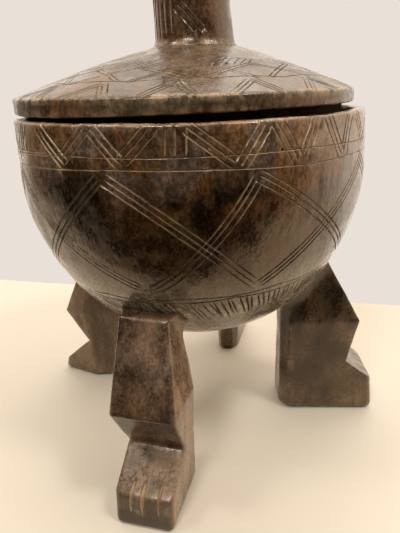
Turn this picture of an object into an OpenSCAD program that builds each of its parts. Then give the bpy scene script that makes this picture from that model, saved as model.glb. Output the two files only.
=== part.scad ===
// Carved wooden bowl on four bent legs with feet, closed by a domed lid with a post handle.
// The front leg points along -Y, +Z is up, and the floor is at z = 0.

/* [Bowl] */
// Radius of the bowl at its rim
rim_r = 120; // [90:1:180]
// Height of the bowl from its lowest point to its rim
bowl_h = 158; // [110:1:220]
// Height of the bowl's lowest point above the floor
stand_h = 81; // [60:1:130]
// Height of the upright wall below the ledge
collar_h = 14; // [4:1:40]
// Fullness of the bowl's curve, where 2 is round and more is squarer
bowl_fullness = 2.4; // [1.8:0.1:3.5]
// Thickness of the bowl's floor
floor_t = 16; // [8:1:30]

/* [Carving] */
// Width of a carved line
carve_w = 1.2; // [0.8:0.1:2]
// Depth of a carved line
carve_d = 0.9; // [0.4:0.1:1.5]
// Distance of the upper carved ring below the rim
ring_drop = 17; // [15:0.5:30]
// Distance between the two carved rings
ring_gap = 7; // [4:0.5:12]
// Heights of the crossing bands as shares of the bowl's height: top, middle and foot
band_share = [0.835, 0.565, 0.435]; // [0.4:0.005:0.85]
// Height of the line above the hatching as a share of the bowl's height
hatch_share = 0.375; // [0.3:0.005:0.4]
// Tilt of the line above the hatching, in degrees
hatch_tilt = 3.6; // [0:0.1:4]
// Direction in which the line above the hatching rises, in degrees
hatch_turn = 23; // [0:1:360]

/* [Mouth] */
// Thickness of the lip around the mouth
lip_t = 6.5; // [4:0.5:12]
// Depth of the ledge below the rim
ledge_depth = 10; // [6:0.5:20]
// Width of the ledge that carries the lid
ledge_w = 10; // [6:0.5:16]

/* [Legs] */
// How far the two side legs are swept towards the back, in degrees
side_sweep = 13; // [0:1:25]
// Sideways shift of the whole leg: front, right, back and left leg
leg_shift = [0, 0, -5, 0]; // [-12:1:12]
// How far the toes reach out past the rim: front, right, back and left leg
toe_out = [22, 21, 22, 22]; // [0:1:60]
// Set-back of the toes' upper edge
toe_setback = 2.6; // [0:0.2:8]
// Height of the toes: front, right, back and left leg
toe_h = [22, 29, 20, 10]; // [6:1:40]
// How far the ankle's notch lies inside the rim: front, right, back and left leg
ankle_in = [8, 3, 8, 13]; // [0:1:25]
// Height of the ankle's notch: front, right, back and left leg
ankle_h = [40, 45, 42, 38]; // [30:1:56]
// How far the knee reaches out past the rim: front, right, back and left leg
knee_out = [12, 5, 7, 8]; // [0:1:40]
// Height of the knee: front, right, back and left leg
knee_h = [74, 81, 74, 66]; // [58:1:100]
// How far the thigh's upper end lies inside the rim: front, right, back and left leg
hip_in = [16, 22, 20, 21]; // [0:1:35]
// Rise of the thigh's upper end above the bowl's lowest point: front, right, back and left leg
hip_rise = [45, 49, 46, 46]; // [36:1:64]
// Fall of the thigh's top from its upper end towards the bowl, in degrees
hip_fall = 3; // [0:1:30]
// How far the leg's inner edge lies inside the rim: front, right, back and left leg
heel_in = [37, 55, 40, 40]; // [36:1:70]
// Width of the thigh's upper end: front, right, back and left leg
hip_w = [32, 32, 21, 32]; // [16:1:50]
// Sideways shift of the thigh's upper end: front, right, back and left leg
hip_shift = [-6, 0, 0, 0]; // [-10:1:10]
// Width across the knee: front, right, back and left leg
knee_w = [42, 42, 24, 42]; // [20:1:60]
// Width across the ankle: front, right, back and left leg
ankle_w = [38.5, 42, 22, 38.5]; // [18:0.5:56]
// Width across the toes: front, right, back and left leg
toe_w = [38, 44, 21, 37]; // [18:0.5:56]
// Width of the leg's inner edge: front, right, back and left leg
heel_w = [12, 27, 12, 8]; // [6:1:32]
// Depth of the chamfers beside the inner edge: front, right, back and left leg
heel_chamfer = [10, 7, 10, 28]; // [4:1:30]

/* [Lid] */
// Difference between the rim's radius and the lid's radius
lid_inset = 6; // [0:0.5:10]
// How far the lid sits to the left of the bowl's axis
lid_shift = 5.5; // [0:0.5:6]
// Height of the open gap between the rim and the lid's edge
lid_gap = 4; // [1:0.5:10]
// Height of the lid's upright edge
lid_edge_h = 8; // [3:0.5:20]
// Rise of the dome above the lid's edge
dome_h = 34; // [16:1:70]
// Fullness of the dome, where 1 is a cone and more is rounder
dome_fullness = 1.3; // [1.2:0.1:3]
// Thickness of the dome
lid_t = 12; // [6:0.5:16]
// Distance of the carved ring inside the lid's edge
lid_ring_in = 18; // [10:0.5:30]
// Smallest gap between the lid's plug and the mouth
plug_gap = 1; // [0.5:0.5:3]
// Thickness of the plug's ring
plug_t = 9; // [6:0.5:20]

/* [Handle] */
// How far the handle stands to the right of the lid's centre
handle_shift = 8.5; // [0:0.5:12]
// Lean of the handle towards the left, in degrees
handle_lean = 3.5; // [0:0.5:8]
// Radius of the handle at the dome
handle_r = 26; // [16:0.5:40]
// Radius of the handle's waist
waist_r = 25; // [12:0.5:38]
// Height of the waist above the dome's top
waist_h = 30; // [10:1:60]
// Length of the flare from the waist to the knob
flare_h = 14; // [6:1:40]
// Length of the knob above the flare
knob_h = 18; // [16:1:50]
// Radius of the knob
knob_r = 29; // [16:0.5:50]
// Rounding of the knob's top edge
knob_round = 14; // [2:0.5:15]

/* [Hidden] */
$fn = 96;
// Segments of each curved outline
curve_steps = 24;
// Overshoot of a cutting solid
past = 1;

// Heights of the bowl
rim_z = stand_h + bowl_h;
ledge_z = rim_z - ledge_depth;
wide_z = ledge_z - collar_h;
floor_z = stand_h + floor_t;
// Radii of the mouth and of the hollow below the ledge
mouth_r = rim_r - lip_t;
hollow_r = mouth_r - ledge_w;

// Reach of each leg's toes from the bowl's axis
toe_reach = [for (out = toe_out) rim_r + out];
// Directions of the front, right, back and left leg
leg_turn = [-90, side_sweep, 90, 180 - side_sweep];

// Directions of each crossing band at its top, middle and foot
front_bands = [
    [-98, -70, -58], [-98, -121, -134], [-58, -73, -85],
    [-59, -27, -12], [-14, -39, -52], [-137, -113, -96]
];
// The bands at the sides and the back repeat every 40 degrees
back_bands = [
    for (k = [0 : 5])
        let (a = 40 * k - 17)
        each [[a, a + 27, a + 40], [a + 40, a + 25, a + 10]]
];

// Heights and radii of the lid
lid_z = rim_z + lid_gap;
dome_z = lid_z + lid_edge_h;
lid_top_z = dome_z + dome_h;
lid_r = rim_r - lid_inset;
plug_r = mouth_r - lid_shift - plug_gap;
plug_in_r = plug_r - plug_t;
lid_ring_r = lid_r - lid_ring_in;

// Outline of a bowl's curve from its lowest point up to its widest radius
function bowl_curve(r, low_z) = [
    for (k = [0 : curve_steps])
        let (a = 90 * k / curve_steps)
        [r * pow(sin(a), 2 / bowl_fullness), wide_z - (wide_z - low_z) * cos(a)]
];

// Point on the bowl's outer face at a direction and a rise above its lowest point
function on_bowl(a, rise) =
    let (
        drop = max(0, 1 - rise / (wide_z - stand_h)),
        r = rim_r * pow(1 - drop * drop, 1 / bowl_fullness)
    )
    [r * cos(a), r * sin(a), stand_h + rise];

function unit(v) = v / norm(v);

// Height of the dome's outer face at a radius
function dome_z_at(r) =
    dome_z + dome_h * (1 - pow(r / lid_r, dome_fullness));

// Outline of the dome between two radii, moved down
function dome_curve(r_from, r_to, down, steps = curve_steps) = [
    for (k = [0 : steps])
        let (r = r_from + (r_to - r_from) * k / steps)
        [r, dome_z_at(r) - down]
];

// Outline of the dome's outer face with its carved ring
function carved_dome() = concat(
    dome_curve(0, lid_ring_r - carve_w / 2, 0),
    [[lid_ring_r, dome_z_at(lid_ring_r) - carve_d]],
    dome_curve(lid_ring_r + carve_w / 2, lid_r, 0, 6)
);

function reversed(points) = [for (k = [len(points) - 1 : -1 : 0]) points[k]];

// Solid inside the bowl's outer face
module bowl_outside() {
    rotate_extrude()
        polygon(concat(bowl_curve(rim_r, stand_h), [[rim_r, rim_z], [0, rim_z]]));
}

// Solid below the carving's depth
module bowl_under_carving() {
    rotate_extrude()
        polygon(concat(
            bowl_curve(rim_r - carve_d, stand_h + carve_d),
            [[rim_r - carve_d, rim_z + past], [0, rim_z + past]]
        ));
}

// Thin plate through a band's three points on the bowl
module band_plate(turns) {
    p = [for (k = [0 : 2]) on_bowl(turns[k], band_share[k] * bowl_h)];
    along = unit(p[2] - p[0]);
    across = unit(cross(p[1] - p[0], p[2] - p[0]));
    inward = cross(across, along);
    c = (p[0] + p[2]) / 2;
    multmatrix([
        [along[0], across[0], inward[0], c[0]],
        [along[1], across[1], inward[1], c[1]],
        [along[2], across[2], inward[2], c[2]],
        [0, 0, 0, 1]
    ])
        cube([norm(p[2] - p[0]), carve_w, rim_r / 2], center = true);
}

// Carved rings below the rim, crossing bands and the line above the hatching
module carved_lines() {
    difference() {
        union() {
            for (k = [0, 1])
                translate([0, 0, rim_z - ring_drop - k * ring_gap])
                    cylinder(r = rim_r + past, h = carve_w, center = true);
            translate([0, 0, stand_h + hatch_share * bowl_h])
                rotate([0, -hatch_tilt, hatch_turn])
                    cylinder(r = rim_r + past, h = carve_w, center = true);
            for (turns = concat(front_bands, back_bands))
                band_plate(turns);
        }
        bowl_under_carving();
    }
}

module bowl() {
    color("#3a2a20")
        difference() {
            rotate_extrude()
                polygon(concat(
                    bowl_curve(rim_r, stand_h),
                    [[rim_r, rim_z], [mouth_r, rim_z], [mouth_r, ledge_z], [hollow_r, ledge_z]],
                    reversed(bowl_curve(hollow_r, floor_z))
                ));
            carved_lines();
        }
}

// Side outline of leg i, from its inner edge to its toes, drawn as reach and height
module leg_side(i) {
    heel_reach = rim_r - heel_in[i];
    hip_z = stand_h + hip_rise[i];
    polygon([
        [heel_reach, 0],
        [toe_reach[i], 0],
        [toe_reach[i] - toe_setback, toe_h[i]],
        [rim_r - ankle_in[i], ankle_h[i]],
        [rim_r + knee_out[i], knee_h[i]],
        [rim_r - hip_in[i], hip_z],
        [heel_reach, hip_z - (heel_in[i] - hip_in[i]) * tan(hip_fall)]
    ]);
}

// Front outline of leg i, drawn as width and height
module leg_face(i) {
    rows = [
        [0, toe_w[i] / 2, 0],
        [0, toe_w[i] / 2, toe_h[i]],
        [0, ankle_w[i] / 2, ankle_h[i]],
        [0, knee_w[i] / 2, knee_h[i]],
        [hip_shift[i], hip_w[i] / 2, stand_h + hip_rise[i]]
    ];
    polygon(concat(
        [for (row = rows) [row[0] + row[1], row[2]]],
        reversed([for (row = rows) [row[0] - row[1], row[2]]])
    ));
}

// Plan outline of leg i, drawn as reach and width, with chamfers beside its inner edge
module leg_plan(i) {
    heel_reach = rim_r - heel_in[i];
    half_w = max(toe_w[i], ankle_w[i], knee_w[i], hip_w[i] + 2 * abs(hip_shift[i])) / 2;
    half = [
        [heel_reach, heel_w[i] / 2],
        [heel_reach + heel_chamfer[i], half_w],
        [toe_reach[i] + past, half_w]
    ];
    polygon(concat(half, reversed([for (p = half) [p[0], -p[1]]])));
}

// Bent leg i, cut to the bowl's outer face
module leg(i) {
    side_w = 2 * knee_w[i];
    color("#46342a")
        difference() {
            rotate([0, 0, leg_turn[i]])
                translate([0, leg_shift[i], 0])
                    intersection() {
                        translate([0, side_w / 2, 0])
                            rotate([90, 0, 0])
                                linear_extrude(side_w)
                                    leg_side(i);
                        rotate([90, 0, 90])
                            linear_extrude(toe_reach[i] + past)
                                leg_face(i);
                        linear_extrude(rim_z)
                            leg_plan(i);
                    }
            bowl_outside();
        }
}

module leg_front() { leg(0); }

module leg_right() { leg(1); }

module leg_back() { leg(2); }

module leg_left() { leg(3); }

// Leans the dome so that its top stands under the handle
module dome_lean() {
    k = handle_shift / dome_h;
    multmatrix([[1, 0, k, -k * dome_z], [0, 1, 0, 0], [0, 0, 1, 0], [0, 0, 0, 1]])
        children();
}

// Solid under an outline of the dome, moved down
module dome_solid(outline, down) {
    wide_r = 1.1 * lid_r;
    dome_lean()
        rotate_extrude()
            polygon(concat(
                outline,
                [[wide_r, dome_z_at(wide_r) - down], [wide_r, ledge_z - past], [0, ledge_z - past]]
            ));
}

// Domed lid, whose plug stands on the ledge in the mouth
module lid() {
    color("#54463a")
        translate([-lid_shift, 0, 0])
            difference() {
                intersection() {
                    rotate_extrude()
                        polygon([
                            [0, ledge_z], [plug_r, ledge_z], [plug_r, lid_z], [lid_r, lid_z],
                            [lid_r, lid_top_z + past], [0, lid_top_z + past]
                        ]);
                    dome_solid(carved_dome(), 0);
                }
                intersection() {
                    translate([0, 0, ledge_z - past])
                        cylinder(r = plug_in_r, h = lid_top_z - ledge_z);
                    dome_solid(dome_curve(0, lid_r, lid_t), lid_t);
                }
            }
}

// Outline of the handle from inside the dome up to its rounded knob, above the dome's top
module handle_outline() {
    knob_z = waist_h + flare_h;
    top_z = knob_z + knob_h;
    root_z = -dome_h / 2;
    arc_steps = 8;
    knob_arc = [
        for (k = [0 : arc_steps])
            let (a = 90 * k / arc_steps)
            [knob_r - knob_round * (1 - cos(a)), top_z - knob_round * (1 - sin(a))]
    ];
    polygon(concat(
        [[0, root_z], [handle_r, root_z], [handle_r, 0], [waist_r, waist_h], [knob_r, knob_z]],
        knob_arc,
        [[0, top_z]]
    ));
}

// Post handle with a waist and a rounded knob, cut to the dome's outer face
module lid_handle() {
    color("#4b3b30")
        translate([-lid_shift, 0, 0])
            difference() {
                translate([handle_shift, 0, lid_top_z])
                    rotate([0, -handle_lean, 0])
                        rotate_extrude()
                            handle_outline();
                dome_solid(carved_dome(), 0);
            }
}

bowl();
leg_front();
leg_right();
leg_back();
leg_left();
lid();
lid_handle();
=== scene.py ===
import random
from math import atan2, cos, degrees, hypot, pi, radians, sin, tan

import bmesh
import bpy
from mathutils import Matrix, Vector, noise


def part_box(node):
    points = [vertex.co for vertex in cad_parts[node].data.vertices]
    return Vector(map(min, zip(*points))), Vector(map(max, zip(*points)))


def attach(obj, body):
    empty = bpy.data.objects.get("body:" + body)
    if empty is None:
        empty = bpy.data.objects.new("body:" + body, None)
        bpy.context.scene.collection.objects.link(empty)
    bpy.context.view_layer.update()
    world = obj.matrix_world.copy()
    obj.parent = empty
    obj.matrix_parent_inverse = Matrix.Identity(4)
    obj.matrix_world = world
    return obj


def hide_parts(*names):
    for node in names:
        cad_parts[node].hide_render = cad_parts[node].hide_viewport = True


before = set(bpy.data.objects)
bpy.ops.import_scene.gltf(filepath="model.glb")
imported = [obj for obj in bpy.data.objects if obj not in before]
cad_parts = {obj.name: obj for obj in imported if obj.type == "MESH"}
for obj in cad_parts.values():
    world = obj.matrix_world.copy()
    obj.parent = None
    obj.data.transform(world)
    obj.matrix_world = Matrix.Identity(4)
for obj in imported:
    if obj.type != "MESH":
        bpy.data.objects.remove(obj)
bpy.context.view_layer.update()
mm = 0.001
up = Vector((0, 0, 1))
scene = bpy.context.scene
scene.view_settings.view_transform = "Standard"
chisel = random.Random(41)
print("frame loaded")


# camera at the photograph's view
viewSet = {
    "imageSize": (400, 533),
    "focalPx": 480.0,
    "sensorWidth": 36.0,
    "clipStart": 10 * mm,
    "stepBack": 357.2 * mm,
    "eyeHeight": 256.1 * mm,
    "yaw": radians(0.26),
    "pitch": radians(20.8),
    "roll": radians(-1.9),
    "turn": radians(15.9),
}


def makeCamera(s):
    forward = Vector((sin(s["yaw"]) * cos(s["pitch"]), cos(s["yaw"]) * cos(s["pitch"]), -sin(s["pitch"])))
    level = Vector((cos(s["yaw"]), -sin(s["yaw"]), 0))
    over = level.cross(forward)
    right = level * cos(s["roll"]) + over * sin(s["roll"])
    top = over * cos(s["roll"]) - level * sin(s["roll"])
    turned = Matrix.Rotation(s["turn"], 3, "Z")
    data = bpy.data.cameras.new("photoCamera")
    data.sensor_width = s["sensorWidth"]
    data.lens = s["focalPx"] / max(s["imageSize"]) * data.sensor_width
    data.clip_start = s["clipStart"]
    camera = bpy.data.objects.new("photoCamera", data)
    scene.collection.objects.link(camera)
    axes = Matrix((turned @ right, turned @ top, turned @ -forward)).transposed().to_4x4()
    camera.matrix_world = Matrix.Translation(turned @ Vector((0, -s["stepBack"], s["eyeHeight"]))) @ axes
    scene.camera = camera


makeCamera(viewSet)
print("camera set")


# small helpers for mesh pieces
weldGap = 0.01 * mm


def lump(co, size, shift, height=1.0):
    spot = Vector((co.x / size + shift, co.y / size - shift, co.z / size + 2 * shift))
    return noise.noise(spot) * height


def ramp(value, low, high):
    return min(1.0, max(0.0, (value - low) / (high - low)))


def nearness(gap, reach):
    return max(0.0, 1 - abs(gap) / reach)


def towards(angle, place, power):
    return max(0.0, cos(radians(angle - place))) ** power


def waver(reach):
    return chisel.uniform(-reach, reach)


def onCircle(angle, r, z):
    return Vector((r * cos(radians(angle)), r * sin(radians(angle)), z))


def outwardOf(co):
    return Vector((co.x, co.y, 0)).normalized()


def pointNormals(bm):
    bm.normal_update()
    return [v.normal.copy() for v in bm.verts]


def addLayers(bm, *names):
    for name in names:
        bm.verts.layers.float.new(name)


def mergePoints(bm, gap):
    bmesh.ops.remove_doubles(bm, verts=bm.verts, dist=gap)


def finishPiece(bm, name, body, node, material):
    bm.normal_update()
    mesh = bpy.data.meshes.new(name)
    bm.to_mesh(mesh)
    bm.free()
    mesh.materials.append(material)
    piece = bpy.data.objects.new(name, mesh)
    scene.collection.objects.link(piece)
    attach(piece, body)
    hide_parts(node)
    print(name, len(mesh.polygons), "faces")


def spinProfile(bm, rows, steps):
    ring = [bm.verts.new((r, 0, z)) for r, z in rows]
    lines = [bm.edges.new(pair) for pair in zip(ring, ring[1:])]
    bmesh.ops.spin(bm, geom=ring + lines, cent=(0, 0, 0), axis=(0, 0, 1), angle=2 * pi, steps=steps,
                   use_merge=True)
    mergePoints(bm, weldGap)
    bmesh.ops.recalc_face_normals(bm, faces=bm.faces)
    for face in bm.faces:
        face.smooth = True


# knife strokes: a face grid finds the faces near a stroke, three cuts make its V
knifeSet = {
    "cellSize": 12 * mm,
    "stride": 8 * mm,
    "cutGap": 0.001 * mm,
    # part of a stroke's length over which it runs in and out, for single strokes and in bands
    "fade": (0.12, 0.12),
    "bandFade": (0.08, 0.08),
    "bandWaver": 0.3,
}


def cellOf(co):
    size = knifeSet["cellSize"]
    return int(co.x // size), int(co.y // size), int(co.z // size)


def faceGrid(faces):
    grid = {}
    for face in faces:
        grid.setdefault(cellOf(face.calc_center_median()), []).append(face)
    return grid


def facesNear(grid, start, end):
    found = {}
    steps = int((end - start).length / knifeSet["stride"]) + 1
    for k in range(steps + 1):
        a, b, c = cellOf(start.lerp(end, k / steps))
        for i in (a - 1, a, a + 1):
            for j in (b - 1, b, b + 1):
                for n in (c - 1, c, c + 1):
                    found.update(dict.fromkeys(grid.get((i, j, n), ())))
    return found


def carveStroke(bm, grid, start, end, normalAt, cut, shift=0.0, across=None):
    groove = bm.verts.layers.float["groove"]
    fadeIn, fadeOut = cut.get("fade", knifeSet["fade"])
    along = end - start
    length = along.length
    along = along / length
    if across is None:
        across = normalAt((start + end) / 2).cross(along).normalized()
    middle = start + across * shift
    half = cut["width"] / 2
    near = []
    for face in facesNear(grid, start, end):
        gaps = [(v.co - middle).dot(across) for v in face.verts]
        runs = [(v.co - middle).dot(along) for v in face.verts]
        if min(gaps) < half and max(gaps) > -half and min(runs) < length and max(runs) > 0:
            near.append(face)
    for offset in (-half, half, 0.0):
        geom = list(dict.fromkeys(v for f in near for v in f.verts))
        geom += list(dict.fromkeys(e for f in near for e in f.edges))
        made = bmesh.ops.bisect_plane(bm, geom=geom + near, dist=knifeSet["cutGap"],
                                      plane_co=middle + across * offset, plane_no=across)
        known = dict.fromkeys(near)
        for item in made["geom"]:
            if isinstance(item, bmesh.types.BMFace) and item not in known:
                grid.setdefault(cellOf(item.calc_center_median()), []).append(item)
                known[item] = None
        near = list(known)
        for item in made["geom_cut"]:
            if isinstance(item, bmesh.types.BMEdge):
                runs = [(v.co - middle).dot(along) for v in item.verts]
                if min(runs) >= 0 and max(runs) <= length:
                    item.smooth = False
    # the last cut is the bottom of the V
    for item in made["geom_cut"]:
        if isinstance(item, bmesh.types.BMVert):
            run = (item.co - middle).dot(along) / length
            if 0 <= run <= 1:
                fade = min(1.0, run / fadeIn, (1 - run) / fadeOut)
                item.co -= normalAt(item.co) * cut["depth"] * fade
                item[groove] = max(item[groove], fade)


def carveBand(bm, grid, start, end, normalAt, cut, across=None):
    line = {**cut, "fade": knifeSet["bandFade"]}
    for k in range(cut["lines"]):
        shift = (k - (cut["lines"] - 1) / 2) * cut["gap"] + waver(knifeSet["bandWaver"]) * mm
        carveStroke(bm, grid, start, end, normalAt, line, shift, across)


# materials: dark patina over wood, with pale knife lines and worn edges
# the meshes' float layers steer it: groove, wear, blush, and a layer that darkens as painted shade (in the
# bowl's mouth and inner floor, under the lid, on the legs under the bowl) and as soot at the toes' end, or
# pales below 0 as painted light on one side face of each leg
def addNode(tree, kind, **values):
    node = tree.nodes.new(kind)
    for key, value in values.items():
        setattr(node, key, value)
    return node


def noiseNode(tree, vector, scale, detail, roughness):
    node = addNode(tree, "ShaderNodeTexNoise")
    node.inputs["Scale"].default_value = scale
    node.inputs["Detail"].default_value = detail
    node.inputs["Roughness"].default_value = roughness
    tree.links.new(vector, node.inputs["Vector"])
    return node.outputs["Fac"]


def mapped(tree, vector, place, scale):
    node = addNode(tree, "ShaderNodeMapping")
    node.inputs["Location"].default_value = place
    node.inputs["Scale"].default_value = scale
    tree.links.new(vector, node.inputs["Vector"])
    return node.outputs["Vector"]


def rangeNode(tree, value, low, high, toLow=0.0, toHigh=1.0):
    node = addNode(tree, "ShaderNodeMapRange", interpolation_type="SMOOTHSTEP")
    node.inputs["From Min"].default_value = low
    node.inputs["From Max"].default_value = high
    node.inputs["To Min"].default_value = toLow
    node.inputs["To Max"].default_value = toHigh
    tree.links.new(value, node.inputs["Value"])
    return node.outputs["Result"]


def mathNode(tree, kind, first, second):
    node = addNode(tree, "ShaderNodeMath", operation=kind)
    for socket, value in zip(node.inputs, (first, second)):
        if isinstance(value, (int, float)):
            socket.default_value = value
        else:
            tree.links.new(value, socket)
    return node.outputs["Value"]


def product(tree, first, second):
    return mathNode(tree, "MULTIPLY", first, second)


def sumOf(tree, parts):
    result = parts[0]
    for part in parts[1:]:
        result = mathNode(tree, "ADD", result, part)
    return result


def mixColour(tree, factor, first, second):
    node = addNode(tree, "ShaderNodeMix", data_type="RGBA")
    sockets = [s for s in node.inputs if s.type == "RGBA"]
    tree.links.new(factor, node.inputs["Factor"])
    for socket, value in zip(sockets, (first, second)):
        if isinstance(value, tuple):
            socket.default_value = (*value, 1)
        else:
            tree.links.new(value, socket)
    return [s for s in node.outputs if s.type == "RGBA"][0]


def attributeNode(tree, name):
    return addNode(tree, "ShaderNodeAttribute", attribute_name=name).outputs["Fac"]


def scaleColour(tree, colour, value):
    node = addNode(tree, "ShaderNodeVectorMath", operation="SCALE")
    tree.links.new(colour, node.inputs[0])
    tree.links.new(value, node.inputs["Scale"])
    return node.outputs["Vector"]


# noise layers that all the woods share: place, stretch, scale, detail and roughness
noiseLayers = {
    "olive": ((0.2, 4.6, 2.9), (1, 1, 0.8), 46.0, 5.0, 0.66),
    "mottle": ((0.7, 2.1, 4.4), (1, 1, 0.8), 85.0, 4.0, 0.55),
    "filmAndSheen": ((5.7, 1.1, 0.4), (1, 1, 0.8), 40.0, 4.0, 0.56),
    "streak": ((2.5, 0.3, 0.9), (1, 1, 0.14), 120.0, 5.0, 0.68),
    "dent": ((4.2, 0.6, 3.8), (1, 1, 0.6), 105.0, 3.0, 0.55),
    "grit": ((1.9, 3.3, 0.2), (1, 1, 0.7), 560.0, 4.0, 0.7),
    "scuff": ((1.3, 5.2, 0.6), (1, 1, 0.6), 95.0, 7.0, 0.76),
}
# layer behind each effect, and the noise values between which the effect comes in
noiseEffects = {
    "patch": ("blotch", 0.39, 0.6),
    "warm": ("warmth", 0.48, 0.58),
    "olive": ("olive", 0.52, 0.6),
    "zone": ("blotch", 0.4, 0.6),
    "filmAndSheenMask": ("filmAndSheen", 0.48, 0.56),
    "scuff": ("scuff", 0.55, 0.62),
    "blush": ("scuff", 0.4, 0.55),
    "mottle": ("mottle", 0.41, 0.6),
    "streak": ("streak", 0.4, 0.62),
    "grit": ("grit", 0.42, 0.59),
    "wear": ("scuff", 0.47, 0.57),
    "tan": ("warmth", 0.4, 0.54),
    "lineBreak": ("scuff", 0.42, 0.54),
    "gloss": ("mottle", 0.4, 0.6),
    "dull": ("grit", 0.42, 0.58),
}
# what the woods share, unless a wood has its own value
woodSet = {
    "blotchGrain": (1.8, 0.45),
    "warmPlace": (3.1, 0.4, 1.7),
    "warmGrain": (3.5, 0.55),
    "redWood": (0.2, 0.075, 0.035),
    "zones": [],
    "zonePatch": 0.45,
    "shadeLightAndSootStrength": 0.7,
    "mottle": (0.8, 1.2),
    "lineEdge": (0.05, 0.3),
    "lineCover": 0.9,
    "tanZones": [],
    "filmAndSheenZone": (0.0, 1 * mm, 1.0),
    "polish": (0.0, 1.0, 0.0, 0.0),
    "lineDull": 0.25,
    "gritDull": (-0.06, 0.1),
    "grainShares": {"dent": 1.6, "grit": 0.22, "mottle": 0.5, "streak": 0.6},
    "grainHeight": 0.5 * mm,
    "shineTint": (1.0, 0.8, 0.6),
    "coatRoughness": 0.2,
}


def woodLayers(tree, s, place):
    layers = {}
    rows = dict(noiseLayers)
    rows["blotch"] = (s["offset"], (1, 1, 1), s["blotchScale"], *s["blotchGrain"])
    rows["warmth"] = (s["warmPlace"], (1, 1, 1), s["warmScale"], *s["warmGrain"])
    for key, (spot, stretch, *grain) in rows.items():
        layers[key] = noiseNode(tree, mapped(tree, place, spot, stretch), *grain)
    return layers


def effect(tree, layers, name, low=0.0, high=1.0):
    layer, start, full = noiseEffects[name]
    return rangeNode(tree, layers[layer], start, full, low, high)


def patchColour(tree, s, layers, height, filmAndSheenMask):
    # patches of dark, plain, warm and olive wood, then zones by height
    colour = mixColour(tree, effect(tree, layers, "patch"), s["dark"], s["mid"])
    warm = product(tree, effect(tree, layers, "warm"), rangeNode(tree, height, *s["warmZone"]))
    colour = mixColour(tree, warm, colour, s["warm"])
    colour = mixColour(tree, effect(tree, layers, "olive", 0, s["oliveShare"]), colour, s["olive"])
    for low, high, share, tone in s["zones"]:
        patchy = effect(tree, layers, "zone", s["zonePatch"] * share, share)
        zone = product(tree, rangeNode(tree, height, low, high), patchy)
        colour = mixColour(tree, zone, colour, tone)
    # film patches, pale partly as painted sheen, then scuffs and red wood showing through
    colour = mixColour(tree, product(tree, filmAndSheenMask, s["filmAndSheenShare"]), colour, s["filmAndSheen"])
    colour = mixColour(tree, effect(tree, layers, "scuff", 0, s["scuffShare"]), colour, s["scuff"])
    blush = product(tree, attributeNode(tree, "blush"), effect(tree, layers, "blush"))
    colour = mixColour(tree, blush, colour, s["redWood"])
    # fine grain over everything
    for key in ("mottle", "streak", "grit"):
        colour = scaleColour(tree, colour, effect(tree, layers, key, *s[key]))
    # painted shade in the bowl's mouth and floor, under the lid and on the legs under the bowl, soot at the
    # toes' end, and painted light on the legs' side faces, then pale worn edges
    shade = product(tree, attributeNode(tree, "inside"), s["shadeLightAndSootStrength"])
    colour = scaleColour(tree, colour, mathNode(tree, "SUBTRACT", 1.0, shade))
    wear = product(tree, attributeNode(tree, "wear"), effect(tree, layers, "wear"))
    return mixColour(tree, product(tree, wear, s["wearShare"]), colour, s["wornEdge"])


def lineColour(tree, s, layers, height, cut):
    # dark flanks, and a pale bottom where the patina never reached
    pale = product(tree, effect(tree, layers, "tan", *s["tanShare"]), rangeNode(tree, cut, *s["lineCore"]))
    for low, high, share in s["tanZones"]:
        pale = product(tree, pale, rangeNode(tree, height, low, high, share, 1))
    pale = product(tree, pale, effect(tree, layers, "lineBreak", s["lineBreak"], 1))
    return mixColour(tree, pale, s["lineDark"], s["linePale"])


def patinaWood(name, own):
    s = {**woodSet, **own}
    material = bpy.data.materials.new(name)
    material.use_nodes = True
    tree = material.node_tree
    shader = tree.nodes["Principled BSDF"]
    place = addNode(tree, "ShaderNodeTexCoord").outputs["Object"]
    split = addNode(tree, "ShaderNodeSeparateXYZ")
    tree.links.new(place, split.inputs["Vector"])
    height = split.outputs["Z"]
    layers = woodLayers(tree, s, place)
    # patches of wax film, their pale tone partly a painted sheen
    filmAndSheenMask = product(tree, effect(tree, layers, "filmAndSheenMask"), rangeNode(tree, height, *s["filmAndSheenZone"], 1))
    cut = attributeNode(tree, "groove")
    groove = rangeNode(tree, cut, *s["lineEdge"])
    colour = patchColour(tree, s, layers, height, filmAndSheenMask)
    line = lineColour(tree, s, layers, height, cut)
    colour = mixColour(tree, product(tree, groove, s["lineCover"]), colour, line)
    tree.links.new(colour, shader.inputs["Base Color"])
    gloss = sumOf(tree, [
        effect(tree, layers, "gloss", *s["roughness"]),
        product(tree, filmAndSheenMask, s["filmGloss"]),
        effect(tree, layers, "dull", *s["gritDull"]),
        product(tree, groove, s["lineDull"]),
        rangeNode(tree, height, *s["polish"]),
    ])
    tree.links.new(gloss, shader.inputs["Roughness"])
    grain = sumOf(tree, [product(tree, layers[key], share) for key, share in s["grainShares"].items()])
    bump = addNode(tree, "ShaderNodeBump")
    bump.inputs["Strength"].default_value = s["bump"]
    bump.inputs["Distance"].default_value = s["grainHeight"]
    tree.links.new(grain, bump.inputs["Height"])
    tree.links.new(bump.outputs["Normal"], shader.inputs["Normal"])
    shader.inputs["Specular IOR Level"].default_value = s["shine"]
    shader.inputs["Specular Tint"].default_value = (*s["shineTint"], 1)
    shader.inputs["Coat Weight"].default_value = s["coat"]
    shader.inputs["Coat Roughness"].default_value = s["coatRoughness"]
    return material


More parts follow.
